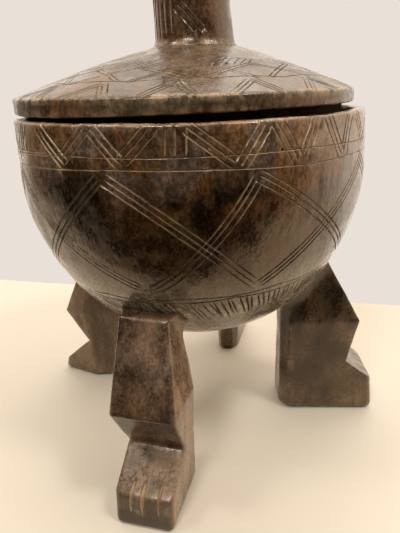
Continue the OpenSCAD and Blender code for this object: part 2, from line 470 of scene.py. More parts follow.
# the bowl
bowlLow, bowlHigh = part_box("bowl")
bowlSet = {
    "rimR": bowlHigh.x,
    "lowZ": bowlLow.z,
    "rimZ": bowlHigh.z,
    "wideZ": bowlHigh.z - 24 * mm,
    "fullness": 2.4,
    "lip": 6.5 * mm,
    "ledgeDepth": 10 * mm,
    "ledgeW": 10 * mm,
    "ledgeRound": 1 * mm,
    "floorT": 16 * mm,
    "edgeRound": 1.6 * mm,
    "stepsUp": 44,
    "stepsCollar": 6,
    "stepsInside": 30,
    "stepsRound": 168,
    "skin": 2 * mm,
    # zigzag under the rim: angles of each arm's top and foot
    "frontArms": [(-119.6, -109.2), (-101.3, -110.3), (-100.0, -92.4), (-84.0, -91.7), (-75.9, -64.0),
                  (-56.4, -63.0), (-53.7, -47.7), (-41.1, -45.3), (-36.6, -30.4), (-25.3, -28.9)],
    "uprights": [-129.5, -126.5, -80.6, -78.3, -75.6],
    "uprightLean": 0.3,
    "armInset": 1.5 * mm,
    "armFoot": 219.0 * mm,
    "armScatter": (-2, 3),
    # the zigzag goes on round the back, in arms of uneven span
    "backArms": (-20.0, 229.0),
    "backArmSpan": (6.5, 9.5),
    "backArmGap": (1, 3),
    "backArmMiss": (0.5, 0.8),
    "armCut": {"lines": 3, "gap": 3.4 * mm, "width": 1.25 * mm, "depth": 0.75 * mm},
    # two thin lines below the zigzag, in strokes that overlap
    "ringHeights": [222.5 * mm, 215.5 * mm],
    "ringTurn": (-136.0, 222),
    "ringSpan": (26, 40),
    "ringOverlap": 2,
    "ringStart": 1.5 * mm,
    "ringWaver": (1.2, 0.4),
    "ringCut": {"width": 1.0 * mm, "depth": 0.6 * mm, "fade": (0.06, 0.06)},
    # crossing bands: angles of each at three heights, from the top down
    "bandHeights": (212.9 * mm, 170.3 * mm, 149.7 * mm),
    "frontBands": [(-98, -70, -58), (-98, -121, -134), (-58, -73, -85), (-59, -27, -12), (-14, -39, -52),
                   (-137, -113, -96)],
    "backNodes": [-17, 23, 63, 103, 143, 183],
    "backBands": [(0, 27, 40), (40, 25, 10)],
    "bandPast": 7 * mm,
    "bandCut": {"lines": 3, "gap": 2.9 * mm, "width": 1.2 * mm, "depth": 0.75 * mm},
    # hatched band above the legs: its top's middle height, and the rise to the right and to the back
    "hatchTop": (140.3 * mm, 6.0 * mm, 2.6 * mm),
    # two lines, then strokes that lean more or less on the way round
    "hatchLines": (0.5 * mm, -2.6 * mm),
    "hatchTurn": (-140.0, 218),
    "hatchSpan": (24, 34),
    "hatchOverlap": 1.5,
    "hatchWaver": 0.5,
    "hatchLineCut": {"width": 1.0 * mm, "depth": 0.6 * mm, "fade": (0.05, 0.05)},
    "hatchFrom": -150,
    "hatchLean": 4.5,
    "hatchLeanTurn": (1.4, 62),
    "hatchLeanWaver": 0.8,
    "hatchDrop": 3 * mm,
    "hatchScatter": (0, 1.5),
    "hatchHeight": 17 * mm,
    "hatchLengths": (0.8, 1.05),
    "hatchCount": 165,
    "hatchCut": {"width": 1.5 * mm, "depth": 1.0 * mm},
    # painted shade on the lip inside and on the inner floor
    "lipTop": 1.5 * mm,
    "lipDepth": 16 * mm,
    "floorGap": 4 * mm,
    "floorShade": 0.85,
    "floorShadeZ": (175 * mm, 115 * mm),
    # flatter at the upper right, fuller at the left: angle and narrowness of each
    "rightTurn": (-4, 3),
    "rightPull": 4.0 * mm,
    "rightPullZ": (175 * mm, 239 * mm),
    "rightPullPower": 1.5,
    "leftTurn": (-144, 4),
    "leftSwell": 2.0 * mm,
    "leftSwellZ": (175 * mm, 60 * mm),
    # uneven hand work: size, shift and height of the lumps
    "swell": (38 * mm, 3.3, 0.45 * mm),
    "ripple": (11 * mm, 7.1, 0.14 * mm),
    "rimNicks": [(40 * mm, 1.9, 0.45 * mm), (5 * mm, 3.9, 0.45 * mm)],
    "rimCalm": 0.7,
    "wearReach": 2.2 * mm,
}


def bowlRadius(z):
    s = bowlSet
    if z >= s["wideZ"]:
        return s["rimR"]
    drop = min(1.0, (s["wideZ"] - z) / (s["wideZ"] - s["lowZ"]))
    return s["rimR"] * max(0.0, 1 - drop * drop) ** (1 / s["fullness"])


def onBowl(angle, z):
    return onCircle(angle, bowlRadius(z), z)


def bowlNormal(co):
    slope = (bowlRadius(co.z + 1 * mm) - bowlRadius(co.z - 1 * mm)) / (2 * mm)
    outward = outwardOf(co)
    return Vector((outward.x, outward.y, -slope)).normalized()


def bowlCurve(r, low, steps):
    s = bowlSet
    turns = [0.5 * pi * k / steps for k in range(steps + 1)]
    return [(r * sin(a) ** (2 / s["fullness"]), s["wideZ"] - (s["wideZ"] - low) * cos(a)) for a in turns]


def hatchTopZ(angle):
    middle, across, along = bowlSet["hatchTop"]
    return middle + across * cos(radians(angle)) + along * sin(radians(angle))


def bowlBlank(bm):
    s = bowlSet
    e = s["edgeRound"]
    mouthR = s["rimR"] - s["lip"]
    innerR = mouthR - s["ledgeW"]
    ledgeZ = s["rimZ"] - s["ledgeDepth"]
    collar = s["rimZ"] - e - s["wideZ"]
    rows = bowlCurve(s["rimR"], s["lowZ"], s["stepsUp"])
    rows += [(s["rimR"], s["wideZ"] + collar * k / s["stepsCollar"]) for k in range(1, s["stepsCollar"] + 1)]
    # rounded rim, mouth and ledge
    rows += [(s["rimR"] - 0.3 * e, s["rimZ"] - 0.3 * e), (s["rimR"] - e, s["rimZ"])]
    rows += [(mouthR + 0.7 * e, s["rimZ"]), (mouthR + 0.2 * e, s["rimZ"] - 0.2 * e)]
    rows += [(mouthR, s["rimZ"] - 0.8 * e), (mouthR, ledgeZ + 4 * mm), (mouthR, ledgeZ)]
    rows += [(innerR + s["ledgeRound"], ledgeZ), (innerR, ledgeZ - s["ledgeRound"])]
    rows += bowlCurve(innerR, s["lowZ"] + s["floorT"], s["stepsInside"])[::-1]
    spinProfile(bm, rows, s["stepsRound"])


def carveZigzag(bm, grid):
    s = bowlSet
    arms = list(s["frontArms"])
    angle, end = s["backArms"]
    topMiss, footMiss = s["backArmMiss"]
    while angle < end:
        span = chisel.uniform(*s["backArmSpan"])
        arms.append((angle, angle + span))
        arms.append((angle + 2 * span + topMiss, angle + span + footMiss))
        angle += 2 * span + chisel.uniform(*s["backArmGap"])
    topZ = s["rimZ"] - s["armInset"]
    for top, foot in arms:
        ends = [onBowl(top, topZ), onBowl(foot, s["armFoot"] + chisel.uniform(*s["armScatter"]) * mm)]
        carveBand(bm, grid, *ends, bowlNormal, s["armCut"])
    for angle in s["uprights"]:
        ends = [onBowl(angle, topZ), onBowl(angle - s["uprightLean"], s["ringHeights"][0] + 1 * mm)]
        carveStroke(bm, grid, *ends, bowlNormal, s["armCut"])
    print("zigzag carved", len(arms), "arms")


def carveRings(bm, grid):
    s = bowlSet
    wander, step = s["ringWaver"]
    for height in s["ringHeights"]:
        angle, end = s["ringTurn"]
        z = height - s["ringStart"]
        while angle < end:
            span = chisel.uniform(*s["ringSpan"])
            nextZ = height + waver(wander) * mm
            carveStroke(bm, grid, onBowl(angle, z), onBowl(angle + span, nextZ), bowlNormal, s["ringCut"])
            angle += span - s["ringOverlap"]
            z = nextZ + waver(step) * mm


def carveCrossing(bm, grid):
    s = bowlSet
    bands = list(s["frontBands"])
    for node in s["backNodes"]:
        bands += [[node + turn for turn in turns] for turns in s["backBands"]]
    for angles in bands:
        top, middle, foot = [onBowl(a, z) for a, z in zip(angles, s["bandHeights"])]
        across = (middle - top).cross(foot - top).normalized()
        foot += (foot - top).normalized() * s["bandPast"]
        carveBand(bm, grid, top, foot, bowlNormal, s["bandCut"], across)
    print("crossing bands carved", len(bands))


def carveHatching(bm, grid):
    s = bowlSet
    for drop in s["hatchLines"]:
        angle, end = s["hatchTurn"]
        while angle < end:
            span = chisel.uniform(*s["hatchSpan"])
            ends = []
            for spot in (angle, angle + span):
                ends.append(onBowl(spot, hatchTopZ(spot) + drop + waver(s["hatchWaver"]) * mm))
            carveStroke(bm, grid, *ends, bowlNormal, s["hatchLineCut"])
            angle += span - s["hatchOverlap"]
    turn, place = s["hatchLeanTurn"]
    for k in range(s["hatchCount"]):
        angle = s["hatchFrom"] + 360 * k / s["hatchCount"] + waver(s["hatchWaver"])
        lean = s["hatchLean"] - s["hatchLean"] * sin(radians(turn * (angle + place)))
        lean += waver(s["hatchLeanWaver"])
        top = hatchTopZ(angle) - s["hatchDrop"] - chisel.uniform(*s["hatchScatter"]) * mm
        foot = top - s["hatchHeight"] * chisel.uniform(*s["hatchLengths"])
        carveStroke(bm, grid, onBowl(angle, top), onBowl(angle + lean, foot), bowlNormal, s["hatchCut"])
    print("hatching carved", s["hatchCount"], "strokes")


def bowlByHand(bm):
    s = bowlSet
    wear = bm.verts.layers.float["wear"]
    inside = bm.verts.layers.float["inside"]
    lipZ = s["rimZ"] - s["lipDepth"]
    bellyZ, bellyReach = s["leftSwellZ"]
    for v, normal in zip(bm.verts, pointNormals(bm)):
        co = v.co
        angle = degrees(atan2(co.y, co.x))
        outward = Vector((co.x, co.y, 0))
        if outward.length > 1 * mm:
            outward.normalize()
        edge = nearness(co.z - s["rimZ"], s["wearReach"])
        v[wear] = edge
        # painted shade: the mouth's inner face and ledge are dark, and the inner floor darkens towards the
        # bottom
        if lipZ < co.z < s["rimZ"] - s["lipTop"] and outward.dot(normal) < 0.5:
            v[inside] = 1.0
        elif co.z < lipZ and hypot(co.x, co.y) < bowlRadius(co.z) - s["floorGap"]:
            v[inside] = min(s["floorShade"], ramp(co.z, *s["floorShadeZ"]))
        pull = towards(angle, *s["rightTurn"]) * ramp(co.z, *s["rightPullZ"]) ** s["rightPullPower"]
        belly = towards(angle, *s["leftTurn"]) * nearness(co.z - bellyZ, bellyReach)
        co += outward * (belly * s["leftSwell"] - pull * s["rightPull"])
        co += normal * (lump(co, *s["swell"]) + lump(co, *s["ripple"])) * (1 - s["rimCalm"] * edge)
        co.z += edge * sum(lump(co, *nick) for nick in s["rimNicks"])


bowlWood = patinaWood("bowlPatina", {
    "offset": (0.35, 0.1, 0.2),
    "blotchScale": 17.0,
    "warmScale": 19.0,
    "dark": (0.006, 0.0024, 0.0008),
    "mid": (0.024, 0.0098, 0.003),
    "warm": (0.135, 0.048, 0.0115),
    # low and high end, and the share of warm wood at each
    "warmZone": (172 * mm, 205 * mm, 0.25, 0.75),
    "olive": (0.07, 0.046, 0.0125),
    "oliveShare": 0.55,
    # low and high end, share and tone: the worn band under the rim, then the underside, pale from dust and
    # from a painted reflection of the floor
    "zones": [
        (200 * mm, 226 * mm, 0.75, (0.23, 0.12, 0.053)),
        (162 * mm, 126 * mm, 0.9, (0.46, 0.39, 0.27)),
    ],
    # wax film patches, pale grey in part as painted sheen, most on the band under the rim
    "filmAndSheen": (0.165, 0.12, 0.093),
    "filmAndSheenShare": 0.6,
    "filmGloss": -0.12,
    "filmAndSheenZone": (195 * mm, 216 * mm, 0.25),
    "scuff": (0.13, 0.075, 0.03),
    "scuffShare": 0.5,
    "mottle": (0.72, 1.28),
    "streak": (1.2, 0.78),
    "grit": (0.66, 1.4),
    "wornEdge": (0.4, 0.29, 0.19),
    "wearShare": 0.6,
    "lineDark": (0.011, 0.006, 0.003),
    "linePale": (0.66, 0.46, 0.25),
    "lineCore": (0.15, 0.45),
    "lineBreak": 0.5,
    "tanShare": (0.6, 1.0),
    # low and high end, and the share of pale lines that is left at the low one
    "tanZones": [(140 * mm, 185 * mm, 0.15), (204 * mm, 216 * mm, 0.62)],
    "roughness": (0.2, 0.38),
    # height range of the smoother underside, and how much smoother it is
    "polish": (165 * mm, 135 * mm, 0.0, -0.15),
    "bump": 1.0,
    "shine": 1.0,
    "shineTint": (1.0, 0.72, 0.47),
    "coat": 0.25,
})


def makeBowl():
    s = bowlSet
    bm = bmesh.new()
    bowlBlank(bm)
    addLayers(bm, "groove", "wear", "inside")
    middles = [(f, f.calc_center_median()) for f in bm.faces]
    grid = faceGrid([f for f, co in middles if hypot(*co.xy) > bowlRadius(co.z) - s["skin"]])
    carveZigzag(bm, grid)
    carveRings(bm, grid)
    carveCrossing(bm, grid)
    carveHatching(bm, grid)
    bowlByHand(bm)
    finishPiece(bm, "bowlBody", "vessel", "bowl", bowlWood)


makeBowl()


# the four legs, from merged copies of their solids
legSet = {
    # each leg's share of painted shade on its upper part under the bowl, and of painted light on one side
    # face
    "leg_front": {"name": "legFront", "turn": -90.0, "side": 0.0, "reach": 142 * mm, "toeH": 22 * mm,
                  "footRound": 3.6 * mm, "shadeAndSoot": 0.0, "paintedSideLight": 0.9, "toeCuts": (-8.2, -0.9, 10.0)},
    "leg_right": {"name": "legRight", "turn": 13.0, "side": 0.0, "reach": 141 * mm, "toeH": 29 * mm,
                  "footRound": 5.5 * mm, "shadeAndSoot": 1.2, "paintedSideLight": 0.3, "toeCuts": (-10.0, 0.5, 10.2)},
    "leg_back": {"name": "legBack", "turn": 90.0, "side": -5.0, "reach": 142 * mm, "toeH": 20 * mm,
                 "footRound": 3.6 * mm, "shadeAndSoot": 0.7, "paintedSideLight": 0.3, "toeCuts": (-5.0, 0.3, 5.4)},
    "leg_left": {"name": "legLeft", "turn": 167.0, "side": 0.0, "reach": 142 * mm, "toeH": 10 * mm,
                 "footRound": 4.2 * mm, "shadeAndSoot": 0.35, "paintedSideLight": 0.3, "toeCuts": (-9.4, -0.4, 8.8)},
}
legShared = {
    "flatAngle": 1.5,
    "shortEdge": 1 * mm,
    "softAngle": 15,
    "sharpAngle": 28,
    "footSegments": 4,
    "edgeRound": 1.7 * mm,
    "edgeSegments": 3,
    "roundGap": 0.02 * mm,
    "cell": 5 * mm,
    "cellGap": 0.05 * mm,
    "bowlGap": 0.6 * mm,
    # painted shade on the upper leg under the bowl, soot at the toes' end, painted light on one side face,
    # worn edges and scraped toes
    "underShadeZ": (8 * mm, 40 * mm),
    "underShadeBase": 0.75,
    "underShadeLump": (24 * mm, 6.6, 1.3),
    "toeEnd": (-4 * mm, -1 * mm),
    "toeSoot": 1.15,
    "paintedSideLightFacing": (0.75, 1.0),
    "wearReach": 2.6 * mm,
    "scrapeBase": 0.55,
    "scrapeLump": (11 * mm, 2.4, 2.2),
    # toe cuts run over the toes' upper edge: reach back and up, past the edge, and down
    "toeCutStart": (11 * mm, 7 * mm),
    "toeCutPast": 1 * mm,
    "toeCutFall": (10 * mm, 0.6),
    "toeCut": {"width": 2.8 * mm, "depth": 1.9 * mm, "fade": (0.55, 0.3)},
    # each leg spreads a little where it grows out of the bowl
    "rootSpread": 6 * mm,
    "rootDepth": 13 * mm,
    "rootHalf": 14 * mm,
    "swell": (30 * mm, 5.7, 0.5 * mm),
    "ripple": (9 * mm, 8.3, 0.22 * mm),
}


def underBowl(r):
    s = bowlSet
    share = min(1.0, r / s["rimR"])
    return s["wideZ"] - (s["wideZ"] - s["lowZ"]) * max(0.0, 1 - share ** s["fullness"]) ** 0.5


def spreadRoot(co, side, shift):
    s = legShared
    gap = underBowl(hypot(co.x, co.y)) - co.z
    offset = co.dot(side) - shift
    if gap < s["rootDepth"]:
        share = (1 - max(0.0, gap) / s["rootDepth"]) ** 2 * min(1.0, abs(offset) / s["rootHalf"])
        co += side * s["rootSpread"] * share * (1 if offset > 0 else -1)
        co.z = underBowl(hypot(co.x, co.y)) - gap


def touchesBowl(co):
    return abs(hypot(co.x, co.y) - bowlRadius(co.z)) < legShared["bowlGap"]


def sliceEvenly(bm, direction, step):
    spots = [v.co.dot(direction) for v in bm.verts]
    place = min(spots) + 0.5 * step
    while place < max(spots):
        geom = list(bm.verts) + list(bm.edges) + list(bm.faces)
        bmesh.ops.bisect_plane(bm, geom=geom, dist=weldGap, plane_co=direction * place, plane_no=direction)
        place += step


def sharpEdges(bm, angle):
    return [e for e in bm.edges if e.is_manifold and e.calc_face_angle() > radians(angle)
            and not (touchesBowl(e.verts[0].co) and touchesBowl(e.verts[1].co))]


def footEdges(bm, toeH):
    # the foot's lower edges and the toes' upright edges
    chosen = []
    for edge in sharpEdges(bm, legShared["softAngle"]):
        heights = [v.co.z for v in edge.verts]
        if max(heights) < toeH + 1 * mm and min(heights) < 0.1 * mm:
            chosen.append(edge)
    return chosen


def roundEdges(bm, edges, offset, segments, clamp):
    bmesh.ops.bevel(bm, geom=edges, offset=offset, offset_type="OFFSET", segments=segments, profile=0.5,
                    affect="EDGES", material=-1, clamp_overlap=clamp)
    mergePoints(bm, legShared["roundGap"])


def gapToEdge(co, start, end):
    along = end - start
    share = ramp((co - start).dot(along), 0, along.length_squared)
    return (co - start - along * share).length


def legBlank(bm, node):
    bm.from_mesh(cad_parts[node].data)
    mergePoints(bm, weldGap)
    bmesh.ops.dissolve_limit(bm, angle_limit=radians(legShared["flatAngle"]), verts=bm.verts, edges=bm.edges)
    # short edges would stop the rounding
    mergePoints(bm, legShared["shortEdge"])


def shadeLeg(bm, s, outward, side, corners):
    shared = legShared
    wear = bm.verts.layers.float["wear"]
    inside = bm.verts.layers.float["inside"]
    bm.normal_update()
    for v in bm.verts:
        toeEnd = ramp(v.co.dot(outward) - s["reach"], *shared["toeEnd"])
        # painted shade on the upper leg under the bowl, plus soot at the toes' end
        patchy = shared["underShadeBase"] + lump(v.co, *shared["underShadeLump"])
        shadeAndSoot = s["shadeAndSoot"] * ramp(v.co.z, *shared["underShadeZ"]) * patchy + shared["toeSoot"] * toeEnd
        shadeAndSoot = min(shared["toeSoot"], max(0.0, shadeAndSoot))
        # a face turned to one side pales: painted light
        v[inside] = shadeAndSoot - s["paintedSideLight"] * ramp(v.normal.dot(side), *shared["paintedSideLightFacing"])
        scraped = toeEnd * (shared["scrapeBase"] + lump(v.co, *shared["scrapeLump"]))
        gap = min(gapToEdge(v.co, *corner) for corner in corners)
        v[wear] = max(scraped, nearness(gap, shared["wearReach"]))


def carveToes(bm, s, outward, side):
    shared = legShared
    grid = faceGrid(bm.faces)
    slope = (outward + up).normalized()
    toe = outward * s["reach"] + up * s["toeH"]
    back, rise = shared["toeCutStart"]
    longest, share = shared["toeCutFall"]
    for place in s["toeCuts"]:
        spot = toe + side * (place + s["side"]) * mm
        start = spot - outward * back + up * rise
        end = spot + outward * shared["toeCutPast"] - up * min(longest, share * s["toeH"])
        carveStroke(bm, grid, start, end, lambda co: slope, shared["toeCut"])


def legByHand(bm, s, side):
    for v, normal in zip(bm.verts, pointNormals(bm)):
        if not touchesBowl(v.co):
            v.co += normal * lump(v.co, *legShared["swell"])
            v.co += normal * lump(v.co, *legShared["ripple"])
            v.co.z = max(0.0, v.co.z)
        spreadRoot(v.co, side, s["side"] * mm)
    for face in bm.faces:
        face.smooth = True


legWood = patinaWood("legPatina", {
    "offset": (0.9, 0.3, 0.5),
    "blotchScale": 21.0,
    "warmScale": 26.0,
    "dark": (0.042, 0.0215, 0.0105),
    "mid": (0.122, 0.07, 0.039),
    "warm": (0.185, 0.1, 0.045),
    "warmZone": (0.0, 1 * mm, 0.3, 0.3),
    "olive": (0.24, 0.165, 0.088),
    "oliveShare": 0.25,
    # paler towards the foot
    "zones": [(62 * mm, 22 * mm, 0.62, (0.185, 0.115, 0.061))],
    "filmAndSheen": (0.13, 0.088, 0.052),
    "filmAndSheenShare": 0.15,
    "filmGloss": -0.04,
    "scuff": (0.2, 0.12, 0.06),
    "scuffShare": 0.35,
    "mottle": (0.84, 1.16),
    "streak": (1.32, 0.7),
    "grit": (0.8, 1.22),
    "wornEdge": (0.33, 0.22, 0.13),
    "wearShare": 0.6,
    "lineDark": (0.02, 0.012, 0.007),
    "linePale": (0.7, 0.48, 0.27),
    "lineCore": (0.05, 0.3),
    "lineBreak": 0.7,
    "tanShare": (0.8, 1.0),
    "roughness": (0.24, 0.42),
    "bump": 0.5,
    "shine": 0.7,
    "coat": 0.33,
})


def makeLeg(node, s):
    shared = legShared
    bm = bmesh.new()
    legBlank(bm, node)
    outward = Vector((cos(radians(s["turn"])), sin(radians(s["turn"])), 0))
    side = up.cross(outward)
    corners = [(e.verts[0].co.copy(), e.verts[1].co.copy()) for e in sharpEdges(bm, shared["softAngle"])]
    # the foot is rounder than the rest
    roundEdges(bm, footEdges(bm, s["toeH"]), s["footRound"], shared["footSegments"], False)
    roundEdges(bm, sharpEdges(bm, shared["sharpAngle"]), shared["edgeRound"], shared["edgeSegments"], True)
    for direction in (outward, side, up):
        sliceEvenly(bm, direction, shared["cell"])
    mergePoints(bm, shared["cellGap"])
    addLayers(bm, "groove", "wear", "inside")
    shadeLeg(bm, s, outward, side, corners)
    carveToes(bm, s, outward, side)
    legByHand(bm, s, side)
    finishPiece(bm, s["name"], "vessel", node, legWood)


for legNode, ownSet in legSet.items():
    makeLeg(legNode, ownSet)


# the lid
lidLow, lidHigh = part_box("lid")
lidSet = {
    "centre": Vector(((lidLow.x + lidHigh.x) / 2, 0, 0)),
    "r": (lidHigh.x - lidLow.x) / 2,
    "edgeZ": 243 * mm,
    "domeZ": 251 * mm,
    "domeH": lidHigh.z - 251 * mm,
    "fullness": 1.3,
    "lean": 8.5 * mm / (lidHigh.z - 251 * mm),
    "thick": 12 * mm,
    "plugR": 107 * mm,
    "plugT": 9 * mm,
    "plugZ": lidLow.z,
    "plugRound": 1 * mm,
    "edgeRound": 1.0 * mm,
    "stepsOut": 30,
    "stepsUnder": 22,
    "stepsRound": 168,
    "skin": 2 * mm,
    # ring line, in strokes that overlap
    "ringR": 95.5 * mm,
    "ringTurn": (-150.0, 208),
    "ringSpan": (22, 34),
    "ringOverlap": 1.5,
    "ringScatter": (-1.5, 3.5),
    "ringCut": {"width": 0.95 * mm, "depth": 0.6 * mm, "fade": (0.05, 0.05)},
    # zigzag at the edge: angles of the peaks, and each arm's turn at its top and foot
    "peaks": [-148, -124, -101, -77, -53, -29, -5, 19, 43, 67, 91, 115, 139, 163, 187],
    "peakPast": 1.5 * mm,
    "arms": [(0, -7.5), (0.6, 6.2)],
    "edgeGap": 1 * mm,
    "armCut": {"lines": 3, "gap": 2.5 * mm, "width": 1.1 * mm, "depth": 0.65 * mm},
    # crossing lines inside the ring: turn from the peak, and span
    "crossings": [(4, 24), (8, -24)],
    "crossFrom": 73 * mm,
    "crossWaver": 2,
    "crossCut": {"lines": 2, "gap": 2.6 * mm, "width": 1.0 * mm, "depth": 0.6 * mm},
    # hatching round the post, which leans one way in front and the other behind
    "hatchR": (64 * mm, 73 * mm),
    "hatchCount": 84,
    "hatchFrom": -140,
    "hatchWaver": 0.7,
    "hatchLean": 7,
    "hatchLeanTurn": 225,
    "hatchScatter": (-1, 1.5),
    "hatchCut": {"width": 0.95 * mm, "depth": 0.6 * mm},
    # red wood showing through: angle, spread and share
    "blushes": [(-109, 10, 0.9), (-131, 8, 0.35), (-34, 5, 0.7), (60, 12, 0.6), (150, 9, 0.5)],
    "blushFrom": (66 * mm, 106 * mm),
    "edgeBand": 2.2 * mm,
    # the edge hangs lower at the left: angle and narrowness
    "leftTurn": (-128, 2),
    "leftDrop": 1.6 * mm,
    "edgeCalm": 0.35,
    "swell": (34 * mm, 2.2, 0.55 * mm),
    "ripple": (8 * mm, 6.4, 0.18 * mm),
}


def domeZ(r):
    s = lidSet
    return s["domeZ"] + s["domeH"] * (1 - (min(r, s["r"]) / s["r"]) ** s["fullness"])


def leaningDomeZ(x, y):
    s = lidSet
    z = domeZ(hypot(x, y))
    for k in range(8):
        z = domeZ(hypot(x - s["lean"] * (z - s["domeZ"]), y))
    return z


def onLid(angle, r):
    return onCircle(angle, r, domeZ(r))


def lidNormal(co):
    r = hypot(co.x, co.y)
    slope = (domeZ(r + 1 * mm) - domeZ(max(0.0, r - 1 * mm))) / (2 * mm)
    outward = outwardOf(co)
    return Vector((-slope * outward.x, -slope * outward.y, 1)).normalized()


def lidBlank(bm):
    s = lidSet
    r = s["r"]
    e = s["edgeRound"]
    p = s["plugRound"]
    inR = s["plugR"] - s["plugT"]
    steps = s["stepsUnder"]
    rows = [(r * k / s["stepsOut"], domeZ(r * k / s["stepsOut"])) for k in range(s["stepsOut"])]
    # upright edge
    rows += [(r - e, domeZ(r - e)), (r - 0.3 * e, s["domeZ"] - 0.3 * e), (r, s["domeZ"] - e)]
    rows += [(r, s["edgeZ"] + 4 * mm), (r, s["edgeZ"] + e), (r - 0.3 * e, s["edgeZ"] + 0.3 * e)]
    # ring below it
    rows += [(r - e, s["edgeZ"]), (s["plugR"], s["edgeZ"]), (s["plugR"], s["plugZ"] + 6 * mm)]
    rows += [(s["plugR"], s["plugZ"] + p), (s["plugR"] - p, s["plugZ"]), (inR + p, s["plugZ"])]
    rows += [(inR, s["plugZ"] + p), (inR, s["plugZ"] + 8 * mm)]
    rows += [(inR * k / steps, domeZ(inR * k / steps) - s["thick"]) for k in range(steps, -1, -1)]
    spinProfile(bm, rows, s["stepsRound"])


def carveLid(bm):
    s = lidSet
    tops = [f for f in bm.faces if f.normal.z > 0.3 and f.calc_center_median().z > s["domeZ"] - s["skin"]]
    grid = faceGrid(tops)
    angle, end = s["ringTurn"]
    r = s["ringR"]
    while angle < end:
        span = chisel.uniform(*s["ringSpan"])
        nextR = s["ringR"] + chisel.uniform(*s["ringScatter"]) * mm
        carveStroke(bm, grid, onLid(angle, r), onLid(angle + span, nextR), lidNormal, s["ringCut"])
        angle += span - s["ringOverlap"]
        r = nextR
    for peak in s["peaks"]:
        for top, foot in s["arms"]:
            ends = [onLid(peak + top, s["ringR"] + s["peakPast"]), onLid(peak + foot, s["r"] - s["edgeGap"])]
            carveBand(bm, grid, *ends, lidNormal, s["armCut"])
        for turn, span in s["crossings"]:
            start = onLid(peak + turn + waver(s["crossWaver"]), s["crossFrom"])
            end = onLid(peak + turn + span, s["ringR"] - s["edgeGap"])
            carveBand(bm, grid, start, end, lidNormal, s["crossCut"])
    inner, outer = s["hatchR"]
    for k in range(s["hatchCount"]):
        angle = s["hatchFrom"] + 360 * k / s["hatchCount"] + waver(s["hatchWaver"])
        lean = s["hatchLean"] if sin(radians(angle + s["hatchLeanTurn"])) > 0 else -s["hatchLean"]
        end = onLid(angle + lean, inner + chisel.uniform(*s["hatchScatter"]) * mm)
        carveStroke(bm, grid, onLid(angle, outer), end, lidNormal, s["hatchCut"])
    print("lid carved")


def lidByHand(bm):
    s = lidSet
    wear = bm.verts.layers.float["wear"]
    inside = bm.verts.layers.float["inside"]
    blush = bm.verts.layers.float["blush"]
    for v, normal in zip(bm.verts, pointNormals(bm)):
        co = v.co
        r = hypot(co.x, co.y)
        angle = degrees(atan2(co.y, co.x))
        # painted shade on the lid's underside and plug
        if co.z < s["edgeZ"] + 0.3 * mm and r < s["r"] - s["edgeBand"]:
            v[inside] = 1.0
        for place, spread, share in s["blushes"]:
            gap = (angle - place + 180) % 360 - 180
            v[blush] = max(v[blush], share * ramp(r, *s["blushFrom"]) * nearness(gap, spread))
        atEdge = r > s["r"] - s["edgeBand"]
        if atEdge:
            corner = min(abs(co.z - s["domeZ"]), abs(co.z - s["edgeZ"]))
            v[wear] = nearness(corner, s["edgeBand"])
        onTop = co.z > domeZ(r) - s["skin"]
        # the dome leans, outside and inside
        if onTop or r < s["plugR"] - s["plugT"] - 1 * mm:
            co.x += s["lean"] * (co.z - s["domeZ"])
        if atEdge and co.z < s["edgeZ"] + 2 * mm:
            co.z -= s["leftDrop"] * towards(angle, *s["leftTurn"])
        if r > s["plugR"] + 1 * mm or onTop:
            calm = s["edgeCalm"] if atEdge else 1.0
            co += normal * lump(co, *s["swell"]) * calm
            co += normal * lump(co, *s["ripple"])
        co += s["centre"]


lidWood = patinaWood("lidPatina", {
    "offset": (0.2, 0.7, 0.9),
    "blotchScale": 30.0,
    "warmScale": 17.0,
    "dark": (0.026, 0.013, 0.006),
    "mid": (0.105, 0.062, 0.032),
    "warm": (0.18, 0.075, 0.03),
    "warmZone": (0.0, 1 * mm, 0.55, 0.55),
    "olive": (0.15, 0.11, 0.06),
    "oliveShare": 0.5,
    # dust on top
    "zones": [(251 * mm, 255 * mm, 0.8, (0.115, 0.07, 0.037))],
    "filmAndSheen": (0.15, 0.105, 0.065),
    "filmAndSheenShare": 0.25,
    "filmGloss": -0.06,
    "scuff": (0.2, 0.13, 0.07),
    "scuffShare": 0.35,
    "streak": (1.06, 0.94),
    "grit": (0.78, 1.22),
    "wornEdge": (0.5, 0.34, 0.2),
    "wearShare": 0.9,
    "lineDark": (0.03, 0.018, 0.01),
    "linePale": (0.64, 0.46, 0.28),
    "lineCore": (0.15, 0.45),
    "lineBreak": 0.35,
    "tanShare": (0.2, 1.0),
    "roughness": (0.2, 0.36),
    # the upright edge is rougher than the dome
    "polish": (248 * mm, 252 * mm, 0.1, 0.0),
    "bump": 0.6,
    "shine": 0.58,
    "coat": 0.0,
})


def makeLid():
    bm = bmesh.new()
    lidBlank(bm)
    addLayers(bm, "groove", "wear", "inside", "blush")
    carveLid(bm)
    lidByHand(bm)
    finishPiece(bm, "lidDome", "cover", "lid", lidWood)


makeLid()


